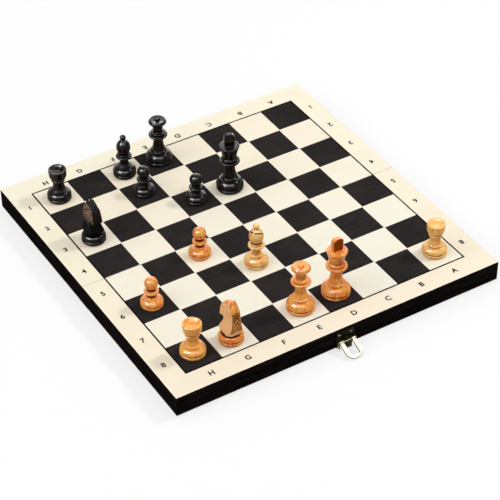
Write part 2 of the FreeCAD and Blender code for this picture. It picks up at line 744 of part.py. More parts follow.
# The chess men, each turned from one piece of wood with a felt disc glued under the foot.
for name, kind, along, away, facing in men:
    body = doc.addObject("PartDesign::Body", name)
    stations = [("0", f"{kind}_seat_height", "", 0)]
    for station, radius, height, curve in turned_profiles[kind]:
        word = f"{kind}_{station}"
        if curve == "dome":
            start_radius, start_height = stations[-1][:2]
            rise = f"({word}_height - {start_height})"
            ball = f"({start_radius} * {start_radius} + {rise} * {rise}) / ({rise} * 2)"
            stations.append((f"{word}_radius", f"{word}_height", ball, 1))
        else:
            stations.append((f"{word}_radius", f"{word}_height", f"{word}_curve", bend(curve)))
    turned = body.newObject("PartDesign::Revolution", f"{name}_turned")
    turned.Profile = outline(body, f"{name}_profile", "XZ_Plane", stations)
    turned.ReferenceAxis = (turned.Profile[0], ["V_Axis"])

    if kind == "king":
        # The finial is a flat slab with an arched top, left standing on the crown.
        finial = body.newObject("PartDesign::Pad", f"{name}_finial")
        finial.Profile = outline(
            body,
            f"{name}_finial_outline",
            "XZ_Plane",
            [
                ("0 - finial_foot / 2", "finial_sunk", "", 0),
                ("finial_foot / 2", "finial_sunk", "", 0),
                ("finial_width / 2", "finial_shoulder", "", 0),
                ("0 - finial_width / 2", "finial_shoulder", "finial_arch", 1),
            ],
        )
        finial.SideType = "Symmetric"
        bind(finial, Length="finial_thick")
    if kind == "bishop":
        # A saw cut slopes into the mitre from the front.
        slit = body.newObject("PartDesign::Pocket", f"{name}_slit")
        slit.Profile = outline(
            body,
            f"{name}_slit_outline",
            "YZ_Plane",
            [
                ("0", "slit_height", "", 0),
                ("0 - slit_reach", "slit_height + slit_reach * slit_slope + slit_width", "", 0),
                ("0 - slit_reach", "slit_height + slit_reach * slit_slope", "", 0),
                ("0", "slit_height - slit_width", "", 0),
            ],
        )
        slit.Type = "ThroughAll"
        slit.SideType = "Symmetric"
    if kind == "knight":
        # The head is sawn to its side view, then the cheeks are tapered towards the ears.
        head = body.newObject("PartDesign::Pad", f"{name}_head")
        head.Profile = outline(
            body,
            f"{name}_head_outline",
            "YZ_Plane",
            [
                (f"head_{station}_forward", f"head_{station}_height", f"head_{station}_curve", bend(curve))
                for station, forward, height, curve in knight_head
            ],
        )
        head.SideType = "Symmetric"
        bind(head, Length="head_thick")
        for cheek, sign in (("left", -1), ("right", 1)):
            taper = body.newObject("PartDesign::Pocket", f"{name}_{cheek}_cheek")
            corners = [
                (f"head_low_width * {sign}", "head_taper_foot", "", 0),
                (f"head_thick * {sign}", "head_taper_foot", "", 0),
                (f"head_thick * {sign}", "head_taper_top", "", 0),
                (f"head_top_width * {sign}", "head_taper_top", "", 0),
            ]
            taper.Profile = outline(body, f"{name}_{cheek}_taper", "XZ_Plane", corners[::sign])
            taper.Type = "ThroughAll"
            taper.SideType = "Symmetric"
        rounding = body.newObject("PartDesign::Groove", f"{name}_rounding")
        rounding.Profile = outline(
            body,
            f"{name}_rounding_outline",
            "XZ_Plane",
            [
                ("knight_neck_side_radius", "head_round_low", "", 0),
                ("head_flare_radius + 2", "head_round_low", "", 0),
                ("head_flare_radius + 2", "head_flare_height", "", 0),
                ("head_flare_radius", "head_flare_height", "", 0),
                ("knight_neck_side_radius", "head_round_high", "", 0),
            ],
        )
        rounding.ReferenceAxis = (rounding.Profile[0], ["V_Axis"])
    bind(body, x=f"{name}_along", y=f"{name}_away", z="half_depth")
    turn(body, (0, 0, 1), f"{name}_facing")

    felt_radius = f"{kind}_seat_radius - felt_inset"
    place = (f"{name}_along", f"{name}_away", "half_depth")
    felt = rod(f"{name}_felt", felt_radius, "felt_thick", *place, "+Z")
    nodes += [body, felt]

for piece in doc.Objects:
    piece.touch()
doc.recompute()

for piece in doc.Objects:
    if "Invalid" in piece.State or "Error" in piece.State:
        raise RuntimeError(f"{piece.Name} failed: {piece.State}")
for piece in nodes:
    if piece.Shape.isNull() or not piece.Shape.isValid():
        raise RuntimeError(f"{piece.Label} has no sound shape")
os.makedirs("parts", exist_ok=True)
for piece in nodes:
    piece.Shape.exportStep(f"parts/{piece.Label}.step")
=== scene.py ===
import json
import math

import bpy
from mathutils import Matrix, Vector


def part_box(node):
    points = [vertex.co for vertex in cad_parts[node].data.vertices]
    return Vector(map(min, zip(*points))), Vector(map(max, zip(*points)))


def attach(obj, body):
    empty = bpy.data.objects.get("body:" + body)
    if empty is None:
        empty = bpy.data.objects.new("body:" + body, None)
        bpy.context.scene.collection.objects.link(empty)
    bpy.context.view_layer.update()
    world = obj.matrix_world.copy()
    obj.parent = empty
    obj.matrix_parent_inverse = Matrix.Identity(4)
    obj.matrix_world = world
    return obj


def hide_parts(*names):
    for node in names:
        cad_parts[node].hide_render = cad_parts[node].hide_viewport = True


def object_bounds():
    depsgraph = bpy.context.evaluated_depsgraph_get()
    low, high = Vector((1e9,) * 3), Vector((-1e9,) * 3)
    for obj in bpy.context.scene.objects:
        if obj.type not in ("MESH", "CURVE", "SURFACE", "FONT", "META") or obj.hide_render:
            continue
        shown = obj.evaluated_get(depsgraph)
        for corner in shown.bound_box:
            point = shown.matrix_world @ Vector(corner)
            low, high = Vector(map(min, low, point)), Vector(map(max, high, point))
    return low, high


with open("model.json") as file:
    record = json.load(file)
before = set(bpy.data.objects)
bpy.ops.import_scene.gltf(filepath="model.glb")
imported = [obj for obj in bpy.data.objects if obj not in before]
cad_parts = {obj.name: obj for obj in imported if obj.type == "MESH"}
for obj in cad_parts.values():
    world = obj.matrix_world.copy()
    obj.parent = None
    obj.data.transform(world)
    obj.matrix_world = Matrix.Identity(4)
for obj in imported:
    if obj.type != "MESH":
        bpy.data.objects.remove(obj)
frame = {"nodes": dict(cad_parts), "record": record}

cad_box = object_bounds()


# Tray walls: straight lengths of softwood, planed, glued under the edges of each panel and stained black.
# The stain soaks in unevenly along the grain. A few strokes of a plane ease the lower arrises.
mm = 0.001
nodes = frame["nodes"]
body_of = {node: body for body, held in frame["record"]["behaviour"]["bodies"].items() for node in held}


class Shade:
    """A number, colour or direction that varies over a surface, so that sums on it can be written out."""

    def __init__(self, tree, socket):
        self.tree = tree
        self.socket = socket

    def node(self, kind, settings, sockets, output=0):
        made = self.tree.nodes.new(kind)
        for name, setting in settings.items():
            setattr(made, name, setting)
        for name, given in sockets.items():
            if isinstance(given, Shade):
                self.tree.links.new(given.socket, made.inputs[name])
            else:
                made.inputs[name].default_value = given
        return Shade(self.tree, made.outputs[output])

    def maths(self, operation, first, second):
        return self.node("ShaderNodeMath", {"operation": operation}, {0: first, 1: second})

    def __add__(self, other):
        return self.maths("ADD", self, other)

    __radd__ = __add__

    def __sub__(self, other):
        return self.maths("SUBTRACT", self, other)

    def __rsub__(self, other):
        return self.maths("SUBTRACT", other, self)

    def __mul__(self, other):
        return self.maths("MULTIPLY", self, other)

    __rmul__ = __mul__

    def __abs__(self):
        return self.maths("ABSOLUTE", self, 0.0)

    def larger(self, other):
        return self.maths("MAXIMUM", self, other)

    def along(self, axis):
        return self.node("ShaderNodeSeparateXYZ", {}, {0: self}, output="XYZ".index(axis))

    def facing(self, axis):
        """How squarely the surface looks along an axis of its piece, from -1 to 1."""
        return self.node("ShaderNodeTexCoord", {}, {}, output="Normal").along(axis)

    def rise(self, low, high):
        """0 up to `low`, 1 from `high` on, and an even slope between them."""
        limits = {"Value": self, "From Min": low, "From Max": high}
        return self.node("ShaderNodeMapRange", {"interpolation_type": "SMOOTHSTEP"}, limits)

    def tint(self, plain, marked):
        """The colour `plain` where this is 0, `marked` where it is 1."""
        return self.node("ShaderNodeMix", {"data_type": "RGBA"}, {0: self, 6: plain, 7: marked}, output=2)

    def figure(self, marks, detail=3.0, shift=0.0):
        """Clouded figure read at this place, with marks of about these lengths in X, Y and Z."""
        mapped = {"Vector": self, "Location": (shift, shift, shift), "Scale": [1 / mark for mark in marks]}
        place = self.node("ShaderNodeMapping", {}, mapped)
        return self.node("ShaderNodeTexNoise", {}, {"Vector": place, "Scale": 1.0, "Detail": detail})

    def relief(self, depth):
        """The surface direction that this height gives when its whole range is `depth` deep."""
        return self.node("ShaderNodeBump", {}, {"Height": self, "Distance": depth, "Strength": 1.0})


def colour(red, green, blue):
    """A colour read off a swatch, 0 to 255, as light values."""
    shares = (red / 255, green / 255, blue / 255)
    lights = [share / 12.92 if share < 0.04045 else ((share + 0.055) / 1.055) ** 2.4 for share in shares]
    return (*lights, 1.0)


def new_finish(name, fixed):
    """A finish, its shader with the values that stay the same all over, and the place on the object."""
    finish = bpy.data.materials.new(name)
    finish.use_nodes = True
    tree = finish.node_tree
    shader = tree.nodes["Principled BSDF"]
    for socket, value in fixed.items():
        shader.inputs[socket].default_value = value
    place = Shade(tree, tree.nodes.new("ShaderNodeTexCoord").outputs["Object"])
    return finish, shader, place


def lay_on(shader, shades):
    for socket, shade in shades.items():
        shade.tree.links.new(shade.socket, shader.inputs[socket])


def black_stain(name, marks):
    """Black stain on softwood whose grain has marks of these lengths."""
    finish, shader, place = new_finish(name, {"Specular IOR Level": 0.0})
    grain = place.figure(marks, detail=5.0)
    lay_on(shader, {
        "Base Color": grain.rise(0.35, 0.75).tint(colour(18, 16, 15), colour(40, 35, 33)),
        "Roughness": 0.42 + grain * 0.3,
        "Normal": grain.relief(0.06 * mm),
    })
    return finish


def dress(node, *finishes):
    nodes[node].data.materials.clear()
    for finish in finishes:
        nodes[node].data.materials.append(finish)


def pick(piece, kind, chosen):
    """Opens the piece for editing with only those corners, edges or faces selected that are chosen."""
    bpy.ops.object.mode_set(mode="EDIT")
    bpy.ops.mesh.select_mode(type=kind)
    bpy.ops.mesh.select_all(action="DESELECT")
    bpy.ops.object.mode_set(mode="OBJECT")
    mesh = piece.data
    for element in {"VERT": mesh.vertices, "EDGE": mesh.edges, "FACE": mesh.polygons}[kind]:
        corners = [element.index] if kind == "VERT" else element.vertices
        element.select = chosen([mesh.vertices[corner].co for corner in corners])
    bpy.ops.object.mode_set(mode="EDIT")


def saw_block(name, low, high):
    bpy.ops.object.select_all(action="DESELECT")
    bpy.ops.mesh.primitive_cube_add(size=1, location=(low + high) / 2)
    block = bpy.context.object
    block.name = name
    block.scale = high - low
    bpy.ops.object.transform_apply()
    return block


arris = 0.5 * mm
grain_across = 1.2 * mm
grain_along = 30 * mm
side_stain = black_stain("black_stain_on_side_walls", (grain_across, grain_along, grain_across))
cross_stain = black_stain("black_stain_on_cross_walls", (grain_along, grain_across, grain_across))
for half in ("near", "far"):
    for side, stain in (("left", side_stain), ("right", side_stain), ("outer", cross_stain)):
        node = f"{half}_{side}_rail"
        low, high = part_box(node)
        rail = saw_block(f"{half}_{side}_wall", low, high)
        pick(rail, "EDGE", lambda ends: all(end.z < low.z + arris for end in ends))
        bpy.ops.mesh.bevel(offset=arris, segments=3, affect="EDGES")
        bpy.ops.object.mode_set(mode="OBJECT")
        bpy.ops.object.shade_smooth_by_angle(angle=math.radians(30))
        rail.data.materials.append(stain)
        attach(rail, body_of[node])
        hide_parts(node)
    dress(f"{half}_hinge_rail", cross_stain)


# Playing panels: plywood faced on both sides with pale veneer, rubbed smooth and given a satin lacquer.
# Their sawn edges take the black stain of the walls. The squares are cleaner and paler than the border.
square = 38.0 * mm
field_half = 4 * square
edge_room = 1.0 * mm
near_tone_to = -120 * mm
far_tone_from = 170 * mm
border_near = colour(250, 239, 216)
border_far = colour(251, 243, 219)
field_near = colour(245, 242, 225)
field_far = colour(251, 239, 216)
pale_veneer, shader, place = new_finish("pale_veneer", {"Specular IOR Level": 0.02})
grain = place.figure((22 * mm, 0.9 * mm, 6 * mm), detail=5.0)
cloud = place.figure((60 * mm, 25 * mm, 60 * mm), detail=2.0, shift=3.0)
away = place.along("Y").rise(near_tone_to, far_tone_from)
reach = abs(place.along("X")).larger(abs(place.along("Y")))
in_border = reach.rise(field_half, field_half + edge_room)
field_tone = away.tint(field_near, field_far)
clean = in_border.tint(field_tone, away.tint(border_near, border_far))
figured = (grain.rise(0.5, 0.85) * 0.2 + cloud.rise(0.4, 0.8) * 0.12).tint(clean, colour(236, 218, 184))
lay_on(shader, {
    "Base Color": figured,
    "Roughness": 0.42 + grain * 0.12,
    "Normal": grain.relief(0.012 * mm),
})
for half in ("near", "far"):
    dress(f"{half}_panel", pale_veneer, cross_stain)
    low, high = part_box(f"{half}_panel")
    for face in nodes[f"{half}_panel"].data.polygons:
        room = min(min(gap.x, gap.y) for gap in (face.center - low, high - face.center))
        face.material_index = int(abs(face.normal.z) < 0.5 and room < edge_room)


# Dark squares: thin veneer dyed nearly black, let into the panel flush and sanded level with it.
# The dye is a shade browner where the wood is open, and the lacquer over it is the panel's own.
dark_veneer, shader, place = new_finish("dark_veneer", {"Specular IOR Level": 0.0})
grain = place.figure((18 * mm, 0.8 * mm, 6 * mm), detail=5.0, shift=7.0)
cloud = place.figure((30 * mm, 30 * mm, 30 * mm), detail=2.0, shift=1.0)
lay_on(shader, {
    "Base Color": (grain * 0.6 + cloud * 0.4).rise(0.4, 0.65).tint(colour(43, 40, 40), colour(52, 48, 46)),
    "Roughness": 0.4 + grain * 0.16,
    "Normal": grain.relief(0.012 * mm),
})
for half in ("near", "far"):
    dress(f"{half}_dark_squares", dark_veneer)


# Printed line and coordinates: black ink stamped on the border, a thin frame round the squares with
# letters along two sides and numbers along the other two, each pair set to be read from its own side.
board_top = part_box("near_panel")[1].z
ink_thick = 0.04 * mm
line_width = 1.6 * mm
line_outside = 1.2 * mm
line_half = field_half + line_outside
fold_gap = 0.15 * mm
number_row = 164.2 * mm
letter_rows = {"near": 164.2 * mm, "far": 161.6 * mm}
letter_size = 8.1 * mm
letter_weight = 0.03
black_ink, shader, place = new_finish("black_ink", {"Specular IOR Level": 0.0})
speck = place.figure((0.5 * mm, 0.5 * mm, 0.5 * mm), detail=3.0)
lay_on(shader, {
    "Base Color": speck.rise(0.3, 0.8).tint(colour(7, 6, 6), colour(24, 20, 18)),
    "Roughness": 0.45 + speck * 0.2,
})


def print_glyph(glyph, x, y, turned):
    bpy.ops.object.select_all(action="DESELECT")
    bpy.ops.object.text_add()
    letter = bpy.context.object
    letter.data.body = glyph
    letter.data.size = letter_size
    letter.data.align_x = "CENTER"
    letter.data.align_y = "CENTER"
    letter.data.offset = letter_weight * letter_size
    letter.data.extrude = ink_thick / 2
    bpy.ops.object.convert(target="MESH")
    letter.rotation_euler.z = math.pi if turned else 0.0
    letter.location = (x, y, board_top + ink_thick / 2)
    bpy.ops.object.transform_apply()
    return letter


for half, direction in (("near", -1), ("far", 1)):
    bpy.ops.object.select_all(action="DESELECT")
    bpy.ops.mesh.primitive_plane_add(size=2 * line_half, location=(0, 0, board_top))
    line = bpy.context.object
    line.name = f"{half}_printed_line"
    bpy.ops.object.transform_apply()
    bpy.ops.object.mode_set(mode="EDIT")
    bpy.ops.mesh.select_mode(type="FACE")
    bpy.ops.mesh.inset(thickness=line_width)
    bpy.ops.mesh.delete(type="FACE")
    bpy.ops.mesh.select_all(action="SELECT")
    fold_edge = (0, direction * fold_gap, 0)
    bpy.ops.mesh.bisect(plane_co=fold_edge, plane_no=(0, direction, 0), clear_inner=True)
    bpy.ops.object.mode_set(mode="OBJECT")
    film = line.modifiers.new("film", "SOLIDIFY")
    film.thickness = ink_thick
    film.offset = 1.0
    bpy.ops.object.modifier_apply(modifier=film.name)
    glyphs = []
    for step in range(8):
        across = (step - 3.5) * square
        glyphs.append(print_glyph("HGFEDCBA"[step], across, direction * letter_rows[half], half == "far"))
    for step in range(4):
        down = direction * (step + 0.5) * square
        number = str(5 + step if half == "near" else 4 - step)
        glyphs.append(print_glyph(number, -number_row, down, False))
        glyphs.append(print_glyph(number, number_row, down, True))
    bpy.ops.object.select_all(action="DESELECT")
    for glyph in glyphs:
        glyph.select_set(True)
    bpy.context.view_layer.objects.active = glyphs[0]
    bpy.ops.object.join()
    glyphs[0].name = f"{half}_printed_coordinates"
    for print_work in (line, glyphs[0]):
        print_work.data.materials.clear()
        print_work.data.materials.append(black_ink)
        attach(print_work, f"{half}_half")


# Backgammon points: long triangles of dyed veneer let into the inside of both panels, dark and warm brown
# by turns, so that the opened tray is the backgammon table. They are flush and lacquered with the panel.
for kind, deep, pale in (
    ("dark_points", colour(34, 28, 25), colour(58, 45, 38)),
    ("pale_points", colour(146, 84, 44), colour(182, 116, 66)),
):
    dyed, shader, place = new_finish(f"dyed_{kind}", {"Specular IOR Level": 0.3})
    grain = place.figure((0.9 * mm, 24 * mm, 6 * mm), detail=5.0, shift=len(kind))
    lay_on(shader, {
        "Base Color": grain.rise(0.35, 0.7).tint(deep, pale),
        "Roughness": 0.4 + grain * 0.15,
        "Normal": grain.relief(0.015 * mm),
    })
    for half in ("near", "far"):
        dress(f"{half}_{kind}", dyed)


# Hinges: two small butt hinges of rolled brass strip, let into the meeting walls and screwed there.
# Brass here is plated, rubbed bright on the faces and dull where hands don't reach.
def brass(name, bright, dull):
    finish, shader, place = new_finish(name, {"Metallic": 1.0})
    rubbed = place.figure((3 * mm, 3 * mm, 3 * mm), detail=4.0)
    brushed = place.figure((6 * mm, 0.25 * mm, 0.25 * mm), detail=2.0, shift=5.0)
    lay_on(shader, {
        "Base Color": rubbed.rise(0.3, 0.75).tint(bright, dull),
        "Roughness": 0.22 + rubbed * 0.2 + brushed * 0.08,
        "Normal": brushed.relief(0.01 * mm),
    })
    return finish


plated_brass = brass("plated_brass", colour(236, 206, 140), colour(184, 146, 82))
for side in ("left", "right"):
    for part in ("pin", "near_leaf", "far_leaf"):
        dress(f"{side}_hinge_{part}", plated_brass)
for half in ("near", "far"):
    dress(f"{half}_hinge_screws", plated_brass)


# Latch and catch: stamped brass-plated plates screwed to the outer walls. The loop swings on a pin between
# the two ears of the latch plate and drops over the tongue of the catch. Stamping leaves the edges rounded.
# The plating is dark, partly as a painted dark reflection, with painted highlights on the loop's upper
# faces and on the plate's left flank and knuckle shoulder.
def round_edges(piece, width):
    rounding = piece.modifiers.new("rounding", "BEVEL")
    rounding.width = width
    rounding.segments = 2
    rounding.limit_method = "ANGLE"
    rounding.angle_limit = math.radians(40)
    bpy.ops.object.modifier_apply(modifier=rounding.name)


def eased_copy(node, width):
    """The stamped piece with its edges rounded by `width`."""
    mesh = nodes[node].data.copy()
    piece = bpy.data.objects.new(f"{node}_stamped", mesh)
    bpy.context.scene.collection.objects.link(piece)
    bpy.ops.object.select_all(action="DESELECT")
    piece.select_set(True)
    bpy.context.view_layer.objects.active = piece
    bpy.ops.object.mode_set(mode="EDIT")
    bpy.ops.mesh.select_all(action="SELECT")
    bpy.ops.mesh.remove_doubles(threshold=0.001 * mm)
    bpy.ops.mesh.dissolve_limited(angle_limit=math.radians(2))
    bpy.ops.object.mode_set(mode="OBJECT")
    round_edges(piece, width)
    bpy.ops.object.shade_smooth_by_angle(angle=math.radians(35))
    mesh.materials.clear()
    return piece


def patina(name, highlight_colour, dark, painted_highlight_mask):
    """Dark brass with painted highlights: paler and less metallic where the given mask says."""
    finish, shader, place = new_finish(name, {"Specular IOR Level": 0.2})
    cloud = place.figure((1.6 * mm, 1.6 * mm, 1.6 * mm), detail=4.0)
    brushed = place.figure((5 * mm, 0.25 * mm, 0.25 * mm), detail=2.0, shift=5.0)
    # Painted highlight: the share of the paler, less metallic colour, broken up a little by the clouding.
    bright = painted_highlight_mask(place) * (1.06 - cloud * 0.25)
    lay_on(shader, {
        "Base Color": bright.tint(cloud.rise(0.4, 0.75).tint(dark, colour(44, 40, 20)), highlight_colour),
        "Metallic": 1.0 - bright * 0.8,
        "Roughness": 0.25 + cloud * 0.25,
        "Normal": brushed.relief(0.01 * mm),
    })
    return finish


plate_low, plate_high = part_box("latch_plate")
# Where the painted highlight along the plate's left flank stops.
highlight_stops_from = plate_low.y + 2.0 * mm
highlight_stops_to = plate_low.y + 3.0 * mm


def loop_wear(place):
    """Painted highlight where the loop faces up, reflecting the white room; its left flank stays dark,
    painted shade.
    """
    upward = place.facing("Z").rise(0.5, 0.75)
    left_flank = (0 - place.facing("X")).rise(0.1, 0.4)
    return upward * (1 - left_flank)


def plate_wear(place):
    """Painted highlights on the latch plate: at the outer end of its left flank and on the knuckle's front
    shoulder.
    """
    left_flank = (0 - place.facing("X")).rise(0.5, 0.8)
    inner_end = place.along("Y").rise(highlight_stops_from, highlight_stops_to)
    shoulder = place.facing("Z").rise(0.35, 0.6) * (0 - place.facing("Y")).rise(0.35, 0.6)
    return (left_flank * (1 - inner_end)).larger(shoulder)


loop_brass = patina("loop_brass_with_painted_highlights", colour(238, 231, 204), colour(20, 18, 6), loop_wear)
plate_brass = patina("dark_plate_brass", colour(176, 164, 122), colour(18, 18, 10), plate_wear)


def combine(piece, tool, operation):
    """Cuts the tool out of the piece or adds it to the piece, and puts the tool away."""
    work = piece.modifiers.new("work", "BOOLEAN")
    work.operation = operation
    work.solver = "MANIFOLD"
    work.object = tool
    bpy.context.view_layer.objects.active = piece
    bpy.ops.object.modifier_apply(modifier=work.name)
    piece.data.materials.clear()
    bpy.data.objects.remove(tool)


ear_foot = 1.9 * mm
ear_reach = 4.6 * mm
saw_room = 1.0 * mm
plate_edge = 0.12 * mm
loop_edge = 0.35 * mm
for node, finish, edge in (
    ("latch_plate", plate_brass, plate_edge),
    ("latch_loop", loop_brass, loop_edge),
    ("catch_plate", plate_brass, plate_edge),
):
    stamped = eased_copy(node, edge)
    if node == "latch_plate":
        for side in (-1, 1):
            outer = plate_low.x if side < 0 else plate_high.x
            waste_low = Vector((outer - saw_room, plate_low.y - saw_room, plate_low.z - saw_room))
            waste_high = Vector((outer + saw_room, plate_low.y + ear_reach, plate_low.z + ear_foot))
            combine(stamped, saw_block("ear_waste", waste_low, waste_high), "DIFFERENCE")
    stamped.data.materials.append(finish)
    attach(stamped, body_of[node])
    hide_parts(node)
dress("latch_pin", loop_brass)


# Latch screws: small round-head brass screws, two in each plate, driven through it into the wall.
# Each head has one straight slot, sawn level with the board, and the plate's dark finish and painted
# highlights.
slot_width = 0.5 * mm
slot_depth = 0.45 * mm
screw_edge = 0.05 * mm
for node, direction in (("latch_screws", -1), ("catch_screws", 1)):
    low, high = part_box(node)
    screws = eased_copy(node, screw_edge)
    crown = low.y if direction < 0 else high.y
    middle = (low.z + high.z) / 2
    groove = saw_block(
        "screw_slot",
        Vector((low.x - slot_depth, crown - slot_depth, middle - slot_width / 2)),
        Vector((high.x + slot_depth, crown + slot_depth, middle + slot_width / 2)),
    )
    combine(screws, groove, "DIFFERENCE")
    screws.data.materials.append(plate_brass)
    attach(screws, body_of[node])
    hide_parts(node)


# Chessmen: turned in hardwood on a lathe, then lacquered. Each profile is cut from the seat up to the top.
# A station is a radius, a height above the board and the arc that leads to it: positive swells, negative
# is hollow, 0 is straight, and a dome closes on the axis.
turned_sides = 96
arc_step = math.radians(14)
blunt_corner = math.radians(150)
corner_ease = 0.12
ease_share = 0.4
longest_step = 1.0
# Painted shade: grooves by depth under nearby swells, a contact shadow at the foot, full under the knight's
# head.
shade_reaches = ((4.0, 1.3), (10.0, 8.0))
lip_drop = 1.0
foot_shadow_below = 0.7
undercut_shadow = 1.2


def cutting_path(stations):
    """Points of a turned outline in millimetres, from the axis at the seat to the axis at the top."""
    points = [Vector((0.0, stations[0][1]))]
    for radius, height, bow in stations:
        start = points[-1]
        end = Vector((radius, height))
        if bow == "dome":
            rise = end.y - start.y
            ball = (start.x ** 2 + rise ** 2) / (2 * rise)
            centre = Vector((0.0, end.y - ball))
        elif bow:
            chord = end - start
            room = math.sqrt(max(bow ** 2 - chord.length_squared / 4, 0.0))
            inward = Vector((-chord.y, chord.x)).normalized() * (1 if bow > 0 else -1)
            centre = (start + end) / 2 + inward * room
        else:
            points.append(end)
            continue
        first = math.atan2(start.y - centre.y, start.x - centre.x)
        sweep = math.atan2(end.y - centre.y, end.x - centre.x) - first
        turning = 1 if bow == "dome" or bow > 0 else -1
        while sweep * turning < 0:
            sweep += turning * math.tau
        steps = max(2, math.ceil(abs(sweep) / arc_step))
        size = (start - centre).length
        for step in range(1, steps):
            angle = first + sweep * step / steps
            points.append(centre + Vector((math.cos(angle), math.sin(angle))) * size)
        points.append(end)
    return points


def stepped(points):
    """The same outline with points at most `longest_step` apart."""
    path = [points[0]]
    for start, end in zip(points, points[1:]):
        steps = max(1, math.ceil((end - start).length / longest_step))
        path += [start.lerp(end, step / steps) for step in range(1, steps + 1)]
    return path


def eased(points):
    """The same outline with each sharp corner taken off, as a scraper and sandpaper leave it."""
    path = [points[0]]
    for before, corner, after in zip(points, points[1:], points[2:]):
        back = before - corner
        on = after - corner
        if back.angle(on) > blunt_corner:
            path.append(corner)
            continue
        path.append(corner + back.normalized() * min(corner_ease, back.length * ease_share))
        path.append(corner + on.normalized() * min(corner_ease, on.length * ease_share))
    return path + [points[-1]]


def hollows(outline, painted_shadow_from):
    """Painted shade by each point's depth under nearby swells, full at the foot edge and above a given
    height.
    """
    rims = [
        index for index, point in enumerate(outline)
        if any(later.y < point.y - lip_drop for later in outline[index:])
    ]
    outside = outline[: rims[0]] if rims else outline
    marks = [0.0] * len(outline)
    for index, point in enumerate(outside):
        for reach, depth in shade_reaches:
            above = max(other.x for other in outside[index:] if other.y < point.y + reach)
            below = max(other.x for other in outside[: index + 1] if other.y > point.y - reach)
            marks[index] = max(marks[index], (min(above, below) - point.x) / depth)
        # The foot's lower edge is marked for painted contact shadow, and all above the given height for
        # full painted shade.
        if point.y < foot_shadow_below:
            marks[index] = 1.0
        if point.y > painted_shadow_from:
            marks[index] = undercut_shadow
    return marks


def draw_line(name, corners):
    """A new piece, open for editing, that is a chain of edges through these corners."""
    bpy.ops.object.select_all(action="DESELECT")
    bpy.ops.mesh.primitive_plane_add(size=mm)
    drawn = bpy.context.object
    drawn.name = name
    bpy.ops.object.mode_set(mode="EDIT")
    bpy.ops.mesh.select_mode(type="VERT")
    bpy.ops.mesh.select_all(action="SELECT")
    bpy.ops.mesh.merge(type="CENTER")
    bpy.ops.transform.translate(value=corners[0])
    for here, there in zip(corners, corners[1:]):
        bpy.ops.mesh.extrude_vertices_move(TRANSFORM_OT_translate={"value": there - here})
    return drawn


def turn_on_lathe(name, stations, painted_shadow_from=math.inf):
    """A turned piece, with painted shade marked in its grooves, along its foot and above the given height.
    """
    outline = stepped(eased(cutting_path(stations)))
    blank = draw_line(name, [Vector((point.x, 0, point.y)) * mm for point in outline])
    bpy.ops.object.mode_set(mode="OBJECT")
    noted = blank.data.attributes.new("painted_shade", "FLOAT", "POINT")
    for mark, depth in zip(noted.data, hollows(outline, painted_shadow_from)):
        mark.value = depth
    bpy.ops.object.mode_set(mode="EDIT")
    bpy.ops.mesh.select_all(action="SELECT")
    bpy.ops.mesh.spin(steps=turned_sides, angle=math.tau, center=(0, 0, 0), axis=(0, 0, 1))
    bpy.ops.mesh.select_all(action="SELECT")
    bpy.ops.mesh.remove_doubles(threshold=0.002 * mm)
    bpy.ops.mesh.normals_make_consistent(inside=False)
    bpy.ops.object.mode_set(mode="OBJECT")
    bpy.ops.object.shade_smooth_by_angle(angle=math.radians(50))
    return blank


king = turn_on_lathe("king", [
    (12.9, 0.5, 0), (13.2, 0.8, 0), (13.1, 3.6, 2.0), (12.0, 4.0, 0), (12.0, 4.6, 0), (13.8, 6.0, 1.4),
    (9.4, 12.0, 8.0), (7.6, 12.4, 0), (7.6, 12.9, 0), (8.3, 13.4, 0), (8.2, 14.4, 0.6), (7.2, 14.8, 0),
    (5.6, 31.0, -34), (9.5, 32.2, 0), (9.7, 34.6, 1.4), (7.2, 35.0, 0), (7.2, 35.6, 0), (8.0, 36.1, 0),
    (7.9, 37.3, 0.7), (6.8, 37.8, 0), (9.8, 50.2, -40), (10.1, 50.9, 0), (9.8, 51.5, 0), (5.6, 52.0, 0),
    (0, 52.6, 0),
])
queen = turn_on_lathe("queen", [
    (12.6, 0.5, 0), (12.9, 0.8, 0), (12.8, 3.6, 2.0), (11.7, 4.0, 0), (11.7, 4.6, 0), (13.4, 6.0, 1.4),
    (9.2, 11.9, 7.8), (7.5, 12.4, 0), (7.5, 12.9, 0), (8.1, 13.4, 0), (8.0, 14.5, 0.6), (7.0, 14.9, 0),
    (5.2, 30.2, -30), (8.8, 31.2, 0), (8.9, 33.5, 1.3), (6.5, 33.9, 0), (6.5, 34.5, 0), (7.4, 35.0, 0),
    (7.3, 36.1, 0.7), (4.9, 36.6, 0), (5.2, 41.2, -9), (8.5, 47.0, -7), (8.7, 49.0, 1.3), (7.3, 50.6, 2.2),
    (2.8, 49.6, -26), (2.4, 47.8, 0), (1.7, 47.8, 0), (1.7, 50.2, 0), (0, 51.8, "dome"),
])
bishop = turn_on_lathe("bishop", [
    (11.0, 0.5, 0), (11.3, 0.8, 0), (11.2, 3.3, 2.0), (10.1, 3.7, 0), (10.1, 4.2, 0), (11.7, 5.5, 1.3),
    (7.7, 10.2, 6.6), (6.3, 10.6, 0), (6.3, 11.1, 0), (6.9, 11.6, 0), (6.8, 12.6, 0.6), (5.1, 13.0, 0),
    (4.5, 20.6, -9), (7.4, 21.6, 0), (7.5, 23.8, 1.3), (5.5, 24.2, 0), (5.5, 24.7, 0), (6.2, 25.2, 0),
    (6.1, 26.1, 0.6), (4.2, 26.5, 0), (2.2, 41.8, 9.6), (1.7, 42.35, 0), (0, 47.9, "dome"),
])
